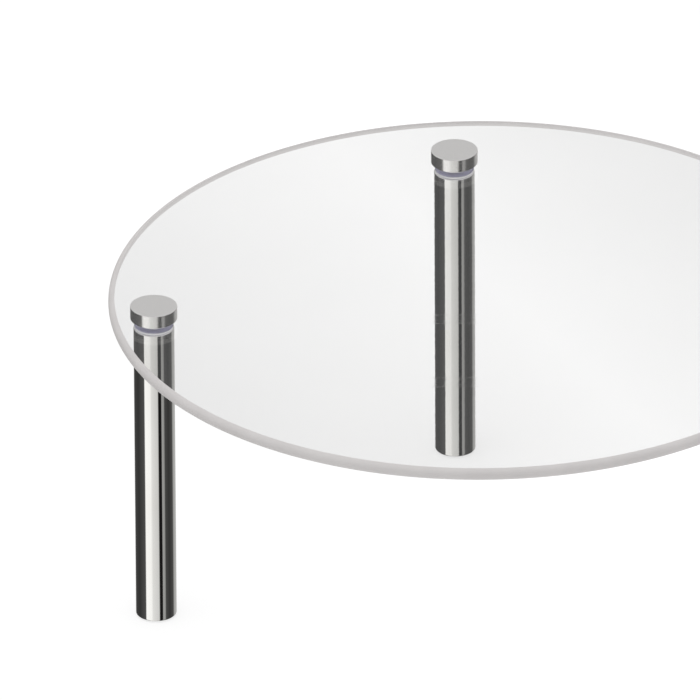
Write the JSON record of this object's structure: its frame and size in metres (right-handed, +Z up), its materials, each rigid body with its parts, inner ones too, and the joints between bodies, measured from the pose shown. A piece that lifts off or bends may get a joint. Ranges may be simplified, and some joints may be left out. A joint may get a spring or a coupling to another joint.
{
  "type": "cake stand",
  "caption": "Round clear plate standing on polished metal tube legs, each held by a screw cap with a stud through the plate.",
  "frame": {"origin": "on the surface that the stand rests on, straight below the middle of the plate", "axes": "+Z up along the plate's own axis, +X to the right and +Y to the back as the stand is seen from the front"},
  "size_m": [0.3, 0.3, 0.1414],
  "materials": {
    "clear_plate": "clear polished faces, grey rim ground half round",
    "polished_tube": "mirror polished stainless tube",
    "satin_cap": "satin turned top, polished side",
    "threaded_stud": "bright rolled thread",
    "insert_metal": "turned, plain",
    "clear_washer": "soft clear plastic, faintly violet on its flat faces",
    "foot_plastic": "milky plastic"
  },
  "bodies": {
    "stand": {"plate": "clear_plate", "left_leg_tube": "polished_tube", "back_leg_tube": "polished_tube", "right_leg_tube": "polished_tube", "left_foot": "foot_plastic", "back_foot": "foot_plastic", "right_foot": "foot_plastic", "left_tube_insert": "insert_metal", "back_tube_insert": "insert_metal", "right_tube_insert": "insert_metal", "left_lower_washer": "clear_washer", "back_lower_washer": "clear_washer", "right_lower_washer": "clear_washer"},
    "left_washer": {"left_upper_washer": "clear_washer"},
    "left_screw": {"left_cap": "satin_cap", "left_stud": "threaded_stud"},
    "back_washer": {"back_upper_washer": "clear_washer"},
    "back_screw": {"back_cap": "satin_cap", "back_stud": "threaded_stud"},
    "right_washer": {"right_upper_washer": "clear_washer"},
    "right_screw": {"right_cap": "satin_cap", "right_stud": "threaded_stud"}
  },
  "joints": [
    {"name": "left_lift", "type": "slide", "parent": "stand", "child": "left_washer", "axis": [0, 0, 1], "range_m": [0, 0.01]},
    {"name": "left_turn", "type": "hinge", "parent": "left_washer", "child": "left_screw", "pos_m": [-0.1315, -0.0215, 0.1359], "axis": [0, 0, 1], "range_deg": [0, 3600]},
    {"name": "back_lift", "type": "slide", "parent": "stand", "child": "back_washer", "axis": [0, 0, 1], "range_m": [0, 0.01]},
    {"name": "back_turn", "type": "hinge", "parent": "back_washer", "child": "back_screw", "pos_m": [-0.0095, 0.111, 0.1359], "axis": [0, 0, 1], "range_deg": [0, 3600]},
    {"name": "right_lift", "type": "slide", "parent": "stand", "child": "right_washer", "axis": [0, 0, 1], "range_m": [0, 0.01]},
    {"name": "right_turn", "type": "hinge", "parent": "right_washer", "child": "right_screw", "pos_m": [0.103, -0.075, 0.1359], "axis": [0, 0, 1], "range_deg": [0, 3600]}
  ],
  "couplings": [
    {"joint": "left_lift", "follows": "left_turn", "m_per_rad": 0.00015915},
    {"joint": "back_lift", "follows": "back_turn", "m_per_rad": 0.00015915},
    {"joint": "right_lift", "follows": "right_turn", "m_per_rad": 0.00015915}
  ]
}
